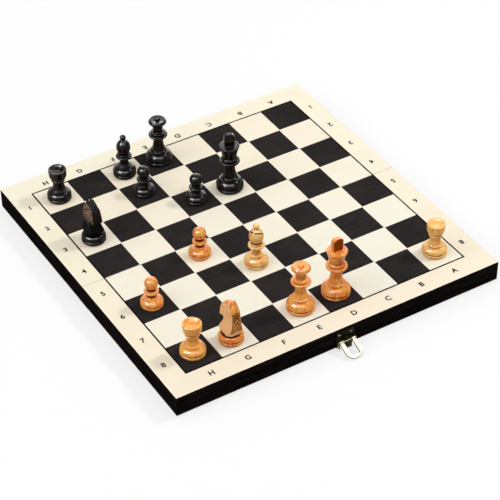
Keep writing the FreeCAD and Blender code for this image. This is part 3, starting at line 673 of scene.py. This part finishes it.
rook = turn_on_lathe("rook", [
    (11.3, 0.5, 0), (11.6, 0.8, 0), (11.5, 3.6, 2.0), (10.4, 4.0, 0), (10.4, 4.6, 0), (12.0, 6.0, 1.3),
    (8.6, 9.9, 5.2), (7.0, 10.3, 0), (7.0, 10.8, 0), (7.7, 11.3, 0), (7.6, 12.2, 0.6), (6.5, 12.6, 0),
    (5.6, 22.0, -18), (6.5, 22.5, 0), (6.4, 23.9, 0.9), (5.6, 24.3, 0), (5.6, 24.9, 0), (6.5, 25.1, 0),
    (8.6, 28.4, 5.0), (8.9, 34.9, 0), (8.4, 35.6, 0.8), (7.5, 35.5, 0), (0, 32.0, -10),
])
pawn = turn_on_lathe("pawn", [
    (10.1, 0.5, 0), (10.4, 0.8, 0), (10.3, 3.3, 2.0), (9.2, 3.7, 0), (9.2, 4.2, 0), (10.8, 5.5, 1.3),
    (6.7, 9.5, 5.6), (5.2, 9.9, 0), (5.2, 10.3, 0), (5.7, 10.7, 0), (5.6, 11.4, 0.5), (3.9, 11.8, 0),
    (4.0, 15.2, -3.6), (6.3, 15.8, 0), (6.5, 18.3, 1.5), (4.1, 18.7, 0), (3.6, 20.62, -2.0),
    (0, 32.5, "dome"),
])
# The knight's base is marked for full painted shade above 9.2 mm, under the overhang of its head.
knight = turn_on_lathe("knight", [
    (11.2, 0.5, 0), (11.5, 0.8, 0), (11.4, 3.5, 2.0), (10.3, 3.9, 0), (10.3, 4.5, 0), (11.8, 5.8, 1.3),
    (9.0, 9.4, 4.6), (6.0, 9.9, 0), (6.0, 12.6, 0), (0, 12.6, 0),
], painted_shadow_from=9.2)


# King's finial: a flat arched slab cut from the same blank and left standing on the crown. It widens
# upwards, and its two broad faces stay as the saw leaves them, coloured darker: partly sawn wood,
# partly painted shade.
finial_low = Vector((-4.8, -2.4, 51.0)) * mm
finial_high = Vector((4.8, 2.4, 65.5)) * mm
finial_widening = 11.4 / 9.6
finial_top_from = 60 * mm
finial_arch = 4.4 * mm
finial_edge = 0.4 * mm
crown_top = 53.4 * mm
finial = saw_block("finial", finial_low, finial_high)
pick(finial, "VERT", lambda ends: ends[0].z > finial_top_from)
bpy.ops.transform.resize(value=(finial_widening, 1, 1))
pick(
    finial, "EDGE",
    lambda ends: all(end.z > finial_top_from for end in ends) and ends[0].x * ends[1].x > 0,
)
bpy.ops.mesh.bevel(offset=finial_arch, segments=9, affect="EDGES")
bpy.ops.object.mode_set(mode="OBJECT")
round_edges(finial, finial_edge)
combine(king, finial, "UNION")
# The broad faces get the darker sawn finish, partly painted shade.
for face in king.data.polygons:
    face.material_index = int(abs(face.normal.y) > 0.7 and face.center.z > crown_top)


# Bishop's slit: one slanting saw cut from the front of the mitre to its middle. The bare wood inside the
# cut has taken no lacquer and is coloured dark, which is partly painted shade in the narrow cut.
slit_slope = 0.55
slit_side = 12.0 * mm
slit_reach = 9.0 * mm
slit_height = 37.4 * mm
slit_half = 0.55 * mm
hair = 0.01 * mm
slit = saw_block("slit", Vector((-slit_side, -slit_reach, -slit_half)), Vector((slit_side, 0, slit_half)))
saw_set = Matrix.Translation((0, 0, slit_height)) @ Matrix.Rotation(-math.atan(slit_slope), 4, "X")
slit.data.transform(saw_set)
combine(bishop, slit, "DIFFERENCE")
# Faces inside the cut get the dark finish, partly painted shade.
for face in bishop.data.polygons:
    in_cut = saw_set.inverted() @ face.center
    face.material_index = int(abs(in_cut.z) < slit_half + hair and -slit_reach < in_cut.y < hair)


# Knight's head: a slab sawn to the horse's outline, with facets at poll and forehead and a bevelled back,
# spread to a round foot on the turned base and rasped. Ears, mouth, eyes, nostrils, a line behind the
# cheek and crossed cuts down the mane are carved by hand. It faces along Y.
head_outline = [
    (-9.8, 12.2), (8.8, 12.2), (8.8, 14.4), (7.6, 17.6), (5.8, 21.4), (4.2, 24.6), (4.2, 26.8), (6.6, 27.2),
    (9.0, 25.8), (10.4, 25.4), (11.1, 26.4), (11.1, 28.8), (10.7, 31.8), (10.2, 35.0), (8.9, 39.0),
    (6.0, 42.8), (2.8, 44.8), (-0.4, 45.2), (-3.0, 45.0), (-5.2, 44.2), (-7.5, 42.0), (-9.4, 38.2),
    (-10.7, 33.8), (-11.3, 28.6), (-11.3, 22.5), (-10.6, 17.0),
]
flank_widths = [
    (12, 8.8), (14, 8.3), (16, 7.4), (20, 6.2), (24, 5.6), (30, 5.2), (36, 4.8), (42, 4.4), (50, 4.0),
]
saw_lines = (14, 16, 18, 20, 22, 24, 27, 30, 33, 36, 39, 42)
slab_half = 6.0
poll_facet = (Vector((0, -8.6, 41.6)), Vector((0.43, -0.7, 0.56)))
forehead_facet = (Vector((0.8, 2.8, 45.0)), Vector((0.6, 0.3, 0.74)))
back_ease = 2.4 * mm
back_from = 13 * mm
back_to = 36 * mm
back_behind = -9.4 * mm


def flank(height):
    """How far the head reaches to each side at this height."""
    for (low, wide), (high, narrow) in zip(flank_widths, flank_widths[1:]):
        if height <= high:
            return wide + (narrow - wide) * (height - low) / (high - low)


def on_back(ends):
    """True for the two long edges down the horse's neck."""
    behind = all(end.y < back_behind and back_from < end.z < back_to for end in ends)
    return behind and ends[0].x * ends[1].x > 0


head = draw_line("head", [Vector((-slab_half, forward, height)) * mm for forward, height in head_outline])
bpy.ops.mesh.select_all(action="SELECT")
bpy.ops.mesh.edge_face_add()
bpy.ops.mesh.extrude_region_move(TRANSFORM_OT_translate={"value": (2 * slab_half * mm, 0, 0)})
for height in saw_lines:
    bpy.ops.mesh.select_all(action="SELECT")
    bpy.ops.mesh.bisect(plane_co=(0, 0, height * mm), plane_no=(0, 0, 1))
bpy.ops.mesh.select_all(action="SELECT")
bpy.ops.mesh.normals_make_consistent(inside=False)
bpy.ops.object.mode_set(mode="OBJECT")
for height in sorted(set(saw_lines) | {height for forward, height in head_outline}):
    pick(head, "VERT", lambda ends: abs(ends[0].z - height * mm) < hair)
    bpy.ops.transform.resize(value=(flank(height) / slab_half, 1, 1), center_override=(0, 0, 0))
    bpy.ops.object.mode_set(mode="OBJECT")
for side in (-1, 1):
    mirror = Vector((side, 1, 1))
    for spot, outward in (poll_facet, forehead_facet):
        pick(head, "VERT", lambda ends: True)
        bpy.ops.mesh.bisect(
            plane_co=spot * mirror * mm, plane_no=outward * mirror, use_fill=True, clear_outer=True
        )
        bpy.ops.object.mode_set(mode="OBJECT")
pick(head, "EDGE", on_back)
bpy.ops.mesh.bevel(offset=back_ease, segments=2, affect="EDGES")
bpy.ops.object.mode_set(mode="OBJECT")


def rasp(piece, grit, strokes):
    """Evens the piece out to one skin with no detail finer than `grit`, and sands it."""
    skin = piece.modifiers.new("skin", "REMESH")
    skin.mode = "VOXEL"
    skin.voxel_size = grit
    sanding = piece.modifiers.new("sanding", "SMOOTH")
    sanding.factor = 0.5
    sanding.iterations = strokes
    bpy.context.view_layer.objects.active = piece
    bpy.ops.object.modifier_apply(modifier=skin.name)
    bpy.ops.object.modifier_apply(modifier=sanding.name)


sawn_grit = 0.35 * mm
sawn_strokes = 20
rasp(head, sawn_grit, sawn_strokes)
foot_round = 10.3 * mm
foot_flare = 0.35
foot_low = 12.0 * mm
foot_high = 60.0 * mm
bpy.ops.object.select_all(action="DESELECT")
bpy.ops.mesh.primitive_cone_add(
    vertices=turned_sides,
    radius1=foot_round,
    radius2=foot_round + (foot_high - foot_low) * foot_flare,
    depth=foot_high - foot_low,
    location=(0, 0, (foot_low + foot_high) / 2),
)
bpy.ops.object.transform_apply()
combine(head, bpy.context.object, "INTERSECT")
ear_across = 1.9
ear_behind = -3.8
ear_middle = 46.4
ear_height = 4.6 * mm
ear_root = 1.4 * mm
ear_tip = 0.3 * mm
for side in (-1, 1):
    bpy.ops.object.select_all(action="DESELECT")
    bpy.ops.mesh.primitive_cone_add(
        vertices=16,
        radius1=ear_root,
        radius2=ear_tip,
        depth=ear_height,
        location=Vector((side * ear_across, ear_behind, ear_middle)) * mm,
    )
    bpy.ops.object.transform_apply()
    combine(head, bpy.context.object, "UNION")
back_line = [(15.0, -10.2), (22.5, -11.3), (28.6, -11.3), (33.8, -10.7), (37.0, -9.8)]
mane_shares = (0.1, 0.4, 0.7)
mane_cut_half = Vector((4.2, 0.9, 0.45)) * mm
mane_lean = math.radians(62)
mane_spread = 1.6
cuts = []
for (low_height, low_back), (high_height, high_back) in zip(back_line, back_line[1:]):
    for share in mane_shares:
        height = low_height + (high_height - low_height) * share
        back = low_back + (high_back - low_back) * share
        for lean in (-1, 1):
            cut = saw_block("mane_cut", -mane_cut_half, mane_cut_half)
            turn = Matrix.Rotation(lean * mane_lean, 4, "Y")
            spot = Vector((lean * mane_spread, back, height)) * mm
            cut.data.transform(Matrix.Translation(spot) @ turn)
            cuts.append(cut)
mouth_low = Vector((-7, 8.2, 28.0)) * mm
mouth_high = Vector((7, 14, 28.7)) * mm
cuts.append(saw_block("mouth", mouth_low, mouth_high))
cheek_line = [(4.4, 41.2), (1.2, 39.3), (-2.0, 37.6), (-5.0, 35.4), (-6.6, 32.0)]
cheek_depth = 1.0
cheek_half = 0.6
cheek_overlap = 0.3
for (start, high), (end, low) in zip(cheek_line, cheek_line[1:]):
    middle = (high + low) / 2
    run = math.hypot(end - start, low - high)
    cheek_cut_half = Vector((cheek_depth, run / 2 + cheek_overlap, cheek_half)) * mm
    turn = Matrix.Rotation(math.atan2(low - high, end - start), 4, "X")
    for side in (-1, 1):
        cut = saw_block("cheek_cut", -cheek_cut_half, cheek_cut_half)
        spot = Vector((side * flank(middle), (start + end) / 2, middle)) * mm
        cut.data.transform(Matrix.Translation(spot) @ turn)
        cuts.append(cut)
eye = (6.6, 35.6, 1.1)
nostril = (9.6, 30.6, 0.8)
for side in (-1, 1):
    for forward, height, size in (eye, nostril):
        bpy.ops.object.select_all(action="DESELECT")
        spot = Vector((side * flank(height), forward, height)) * mm
        bpy.ops.mesh.primitive_uv_sphere_add(segments=16, ring_count=8, radius=size * mm, location=spot)
        bpy.ops.object.transform_apply()
        cuts.append(bpy.context.object)
for cut in cuts:
    combine(head, cut, "DIFFERENCE")
carved_grit = 0.3 * mm
carved_strokes = 3
rasp(head, carved_grit, carved_strokes)
combine(knight, head, "UNION")
bpy.ops.object.select_all(action="DESELECT")
knight.select_set(True)
bpy.ops.object.shade_smooth_by_angle(angle=math.radians(50))
head_from = 12.0 * mm
mane_from = 16.0 * mm
mane_to = 40.0 * mm
ears_from = 44.5 * mm
poll_from = 34.0 * mm
# Flanks get a paler finish, partly painted light; the back of the neck a darker one, partly painted shade.
for face in knight.data.polygons:
    if face.center.z > head_from:
        at_back = face.normal.y < -0.6 and face.normal.z < 0.25 and mane_from < face.center.z < mane_to
        at_poll = face.normal.y < -0.5 and face.normal.z >= 0.25 and face.center.z > poll_from
        on_flank = abs(face.normal.x) > 0.7 and face.center.z < ears_from or face.center.z < mane_from
        face.material_index = 2 if at_back else 1 if on_flank and not at_poll else 3


# Men on the board: natural wood in three shades and black, under clear lacquer that is wiped thin over the
# natural wood. Sawn and rasped places stay bare. Each man stands loose on the board, on its own felt.
def lacquered_wood(name, deep, pore_tone, pale, rosy, stain, gloss, blur):
    """Turned hardwood, grain upright, under clear lacquer, with painted shade in the grooves. Each blank
    has its own tone.
    """
    finish, shader, place = new_finish(name, {"Specular IOR Level": 0.05, "Coat Roughness": blur})
    streak = place.figure((1.3 * mm, 1.3 * mm, 14 * mm), detail=4.0)
    pore = place.figure((0.25 * mm, 0.25 * mm, 2.0 * mm), detail=2.0, shift=4.0)
    body = place.figure((7 * mm, 7 * mm, 24 * mm), detail=2.0, shift=9.0)
    blank = place.figure((55 * mm, 55 * mm, 900 * mm), detail=0.0, shift=2.0)
    ground = (streak * 0.55 + body * 0.45).rise(0.36, 0.64).tint(deep, pale)
    ground = (blank.rise(0.4, 0.6) * 0.5).tint(ground, rosy)
    ground = (pore.rise(0.58, 0.75) * 0.35).tint(ground, pore_tone)
    painted_shade = place.node("ShaderNodeAttribute", {"attribute_name": "painted_shade"}, {}, output="Fac")
    lay_on(shader, {
        # The colour given as `stain` is painted shade: grooves, the foot's edge and the knight's undercut
        # take it and lose gloss.
        "Base Color": painted_shade.rise(0.1, 1.1).tint(ground, stain),
        "Roughness": 0.3 + streak * 0.1,
        "Coat Weight": gloss - painted_shade.rise(0.3, 0.8) * gloss,
        "Normal": pore.relief(0.008 * mm),
    })
    return finish


foot_tone_to = 20 * mm
head_tone_from = 34 * mm


def rasped_wood(name, deep, pale, low_tone):
    """Bare tool-marked wood, with the short strokes of a rasp, and another tone near the foot."""
    finish, shader, place = new_finish(name, {"Specular IOR Level": 0.03})
    stroke = place.figure((0.8 * mm, 0.8 * mm, 2.6 * mm), detail=3.0)
    body = place.figure((5 * mm, 5 * mm, 18 * mm), detail=2.0, shift=6.0)
    marked = (stroke.rise(0.3, 0.7) * 0.8 + body * 0.2).tint(deep, pale)
    upper = place.along("Z").rise(board_top + foot_tone_to, board_top + head_tone_from)
    lay_on(shader, {
        "Base Color": upper.tint(low_tone, marked),
        "Roughness": 0.5 + stroke * 0.2,
        "Normal": stroke.relief(0.1 * mm),
    })
    return finish


natural_gloss = 0.45
natural_blur = 0.14
black_gloss = 0.26
black_blur = 0.07
# The fifth colour of each lacquered wood is painted shade, for its grooves, foot edge and the knight's
# undercut.
warm_wood = lacquered_wood(
    "warm_natural_wood", colour(222, 98, 2), colour(182, 74, 2), colour(255, 190, 90), colour(255, 170, 84),
    colour(112, 28, 2), natural_gloss, natural_blur
)
pale_wood = lacquered_wood(
    "pale_natural_wood", colour(236, 136, 18), colour(210, 108, 6), colour(255, 222, 144),
    colour(255, 202, 114), colour(128, 60, 4), natural_gloss, natural_blur
)
tawny_wood = lacquered_wood(
    "tawny_natural_wood", colour(226, 116, 6), colour(192, 88, 3), colour(255, 202, 104),
    colour(255, 182, 88), colour(116, 40, 2), natural_gloss, natural_blur
)
black_wood = lacquered_wood(
    "black_lacquered_wood", colour(5, 4, 4), colour(3, 3, 3), colour(26, 15, 8), colour(9, 7, 7),
    colour(2, 2, 2), black_gloss, black_blur
)
# Bare wood: the darker finial, slit and mane are partly painted shade, the paler flanks partly painted
# light.
sawn_shaded_wood = rasped_wood("sawn_finial_wood_with_painted_shade", colour(136, 48, 3), colour(176, 76, 10), colour(136, 48, 3))
slit_wood = rasped_wood("sawn_slit_wood_with_painted_shade", colour(140, 66, 10), colour(172, 88, 20), colour(140, 66, 10))
flank_wood = rasped_wood(
    "rasped_flank_wood_with_painted_light", colour(244, 160, 86), colour(255, 228, 174), colour(255, 202, 144)
)
mane_wood = rasped_wood("cut_mane_wood_with_painted_shade", colour(92, 42, 6), colour(196, 122, 56), colour(186, 120, 66))
rasped_black = rasped_wood("rasped_black_wood_with_painted_light", colour(62, 47, 39), colour(164, 132, 110), colour(9, 8, 8))
carved_black = rasped_wood("carved_black_wood", colour(5, 4, 4), colour(48, 43, 42), colour(9, 8, 8))
natural_carved = {
    "king": (sawn_shaded_wood,), "bishop": (slit_wood,), "knight": (flank_wood, mane_wood, warm_wood),
}
black_carved = {
    "king": (black_wood,), "bishop": (black_wood,), "knight": (rasped_black, black_wood, carved_black),
}
models = {"king": king, "queen": queen, "bishop": bishop, "rook": rook, "pawn": pawn, "knight": knight}
turned_from = {"natural_rook_a8": pale_wood, "natural_bishop_e6": pale_wood, "natural_rook_h8": tawny_wood}
turned_by = {
    "natural_bishop_e6": -51,
    "black_knight_h3": 180,
    "black_king_d3": -20,
    "black_bishop_f1": 150,
}
men = sorted(node[: -len("_felt")] for node in nodes if node.endswith("_felt"))
for node in men:
    side, kind = node.split("_")[:2]
    low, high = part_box(f"{node}_felt")
    stand = Vector(((low.x + high.x) / 2, (low.y + high.y) / 2, board_top))
    man = models[kind].copy()
    man.data = models[kind].data.copy()
    man.name = f"{node}_turned"
    bpy.context.scene.collection.objects.link(man)
    turn = Matrix.Rotation(math.radians(turned_by.get(node, 0)), 4, "Z")
    man.data.transform(Matrix.Translation(stand) @ turn)
    if side == "black":
        finishes = (black_wood,) + black_carved.get(kind, ())
    else:
        finishes = (turned_from.get(node, warm_wood),) + natural_carved.get(kind, ())
    for finish in finishes:
        man.data.materials.append(finish)
    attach(man, body_of[node])
    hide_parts(node)
    "black_lacquer" if side == "black" else "natural_wood"
for model in models.values():
    bpy.data.objects.remove(model)


# Felts: discs of dark felt, punched out and glued under the men, a little smaller than the foot they
# cover. They keep the lacquer of the board from scratches.
felt, shader, place = new_finish("dark_felt", {"Sheen Weight": 0.3, "Specular IOR Level": 0.1})
fibre = place.figure((0.3 * mm, 0.3 * mm, 0.3 * mm), detail=4.0)
lay_on(shader, {
    "Base Color": fibre.rise(0.3, 0.7).tint(colour(22, 26, 20), colour(44, 50, 38)),
    "Roughness": 0.85 + fibre * 0.1,
    "Normal": fibre.relief(0.08 * mm),
})
for node in men:
    dress(f"{node}_felt", felt)


# Studio: a white table that keeps the soft shadow, and white walls under a dark ceiling. A small softbox
# hangs on the right and a large one on the left, with four cards that show only in the lacquer. The camera
# looks down across the near left corner of the board.
floor_size = 12.0
low_light = 0.22
high_light = 0.76
floor_shade = 0.3
ceiling = 0.05
wall_top = 0.3
ceiling_from = 0.5


def shown(tree):
    """1 where the camera, a reflection or clear glass looks straight at the backdrop, else 0."""
    rays = tree.nodes.new("ShaderNodeLightPath")
    straight, mirrored, through = (
        Shade(tree, rays.outputs[f"Is {ray} Ray"]) for ray in ("Camera", "Glossy", "Transmission")
    )
    return straight.larger(mirrored).larger(through)


bpy.ops.object.select_all(action="DESELECT")
bpy.ops.mesh.primitive_plane_add(size=floor_size, location=(0, 0, cad_box[0].z))
floor = bpy.context.object
floor.name = "studio_floor"
bpy.ops.object.transform_apply()
white_table, shader, _ = new_finish("white_table", {
    "Base Color": (floor_shade, floor_shade, floor_shade, 1),
    "Roughness": 0.9,
    "Specular IOR Level": 0.0,
    "Emission Strength": 1.0,
})
glow = 1.0 - floor_shade
lay_on(shader, {"Emission Color": shown(white_table.node_tree).tint((0, 0, 0, 1), (glow, glow, glow, 1))})
floor.data.materials.append(white_table)

world = bpy.data.worlds.new("studio")
bpy.context.scene.world = world
world.use_nodes = True
backdrop = world.node_tree.nodes["Background"]
backdrop.inputs["Color"].default_value = (1, 1, 1, 1)
toward = Shade(world.node_tree, world.node_tree.nodes.new("ShaderNodeTexCoord").outputs["Generated"])
walls = 1.0 - toward.along("Z").rise(wall_top, ceiling_from) * (1.0 - ceiling)
soft_light = low_light + toward.along("Z").larger(0.0) * (high_light - low_light)
strength = soft_light + shown(world.node_tree) * (walls - soft_light)
world.node_tree.links.new(strength.socket, backdrop.inputs["Strength"])


def hang_softbox(name, place, width, height, power, lights=True):
    """A softbox turned to the middle of the board, or a card that only shows in the lacquer."""
    lamp = bpy.data.lights.new(name, "AREA")
    lamp.shape = "RECTANGLE"
    lamp.size = width
    lamp.size_y = height
    lamp.energy = power
    softbox = bpy.data.objects.new(name, lamp)
    bpy.context.scene.collection.objects.link(softbox)
    softbox.location = place
    softbox.rotation_euler = (-Vector(place)).to_track_quat("-Z", "Y").to_euler()
    softbox.visible_camera = False
    softbox.visible_diffuse = lights


hang_softbox("right_softbox", (1.25, -0.3, 1.6), 0.26, 0.26, 13)
hang_softbox("left_softbox", (-1.6, 0.05, 1.45), 1.8, 1.4, 14)
hang_softbox("left_card", (-1.62, 0.05, 1.47), 1.1, 1.1, 140, lights=False)
hang_softbox("front_card", (-0.6, -1.0, 1.87), 2.6, 1.2, 100, lights=False)
hang_softbox("back_card", (1.26, 2.09, 0.53), 3.0, 0.9, 70, lights=False)
hang_softbox("upper_card", (0.74, 1.21, 1.69), 2.4, 1.6, 50, lights=False)

bpy.context.scene.view_settings.view_transform = "Standard"
camera = bpy.data.objects.new("camera", bpy.data.cameras.new("camera"))
bpy.context.scene.collection.objects.link(camera)
camera.data.sensor_width = 36.0
camera.data.lens = 132.13
viewpoint = Vector((-0.72062, -1.19204, 1.13593))
look = Vector((0.40255632, 0.65887741, -0.63547539))
right = Vector((0.85146877, -0.52438755, -0.00431641))
up = right.cross(look)
turn = Matrix((right, up, -look)).transposed().to_quaternion()
camera.matrix_world = Matrix.LocRotScale(viewpoint, turn, None)
bpy.context.scene.camera = camera
